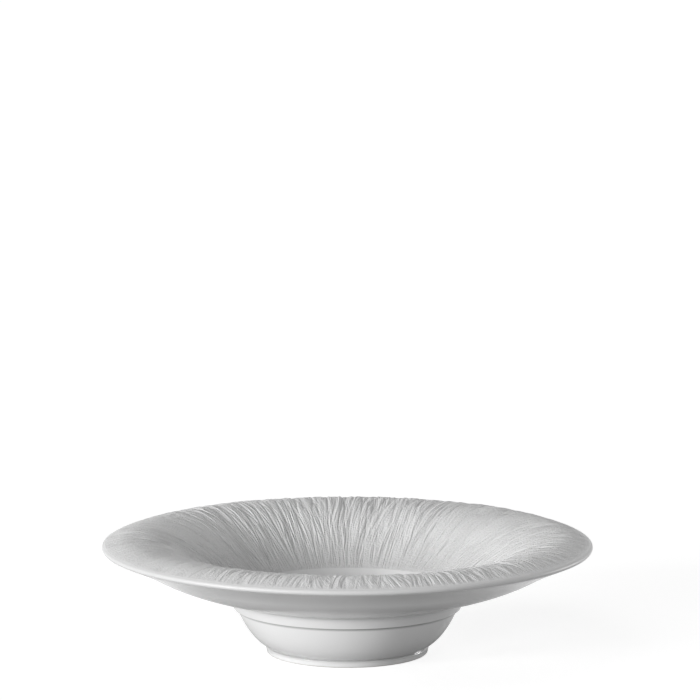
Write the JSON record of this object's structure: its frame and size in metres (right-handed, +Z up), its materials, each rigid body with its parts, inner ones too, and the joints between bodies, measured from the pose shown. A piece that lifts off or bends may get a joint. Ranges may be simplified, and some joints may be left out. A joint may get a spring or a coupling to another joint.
{
  "type": "deep plate",
  "caption": "Deep plate with a wide, thick rim covered in wavy radial relief, a smooth rounded lip, a small deep well, a stacking collar and a foot ring.",
  "frame": {"origin": "centre of the foot ring's standing face, on the table", "axes": "+Z up along the axis of the plate; X and Y lie in the table plane and are free, since the plate is round"},
  "size_m": [0.285, 0.285, 0.0689],
  "materials": {
    "relief_porcelain": "matte white glaze over fine grain",
    "smooth_porcelain": "satin white glaze",
    "foot_porcelain": "satin white glaze with a bare, ground standing face"
  },
  "bodies": {
    "root": {"rim_relief": "relief_porcelain", "rim": "smooth_porcelain", "lip": "smooth_porcelain", "well": "smooth_porcelain", "collar": "smooth_porcelain", "foot_ring": "foot_porcelain"}
  },
  "joints": []
}
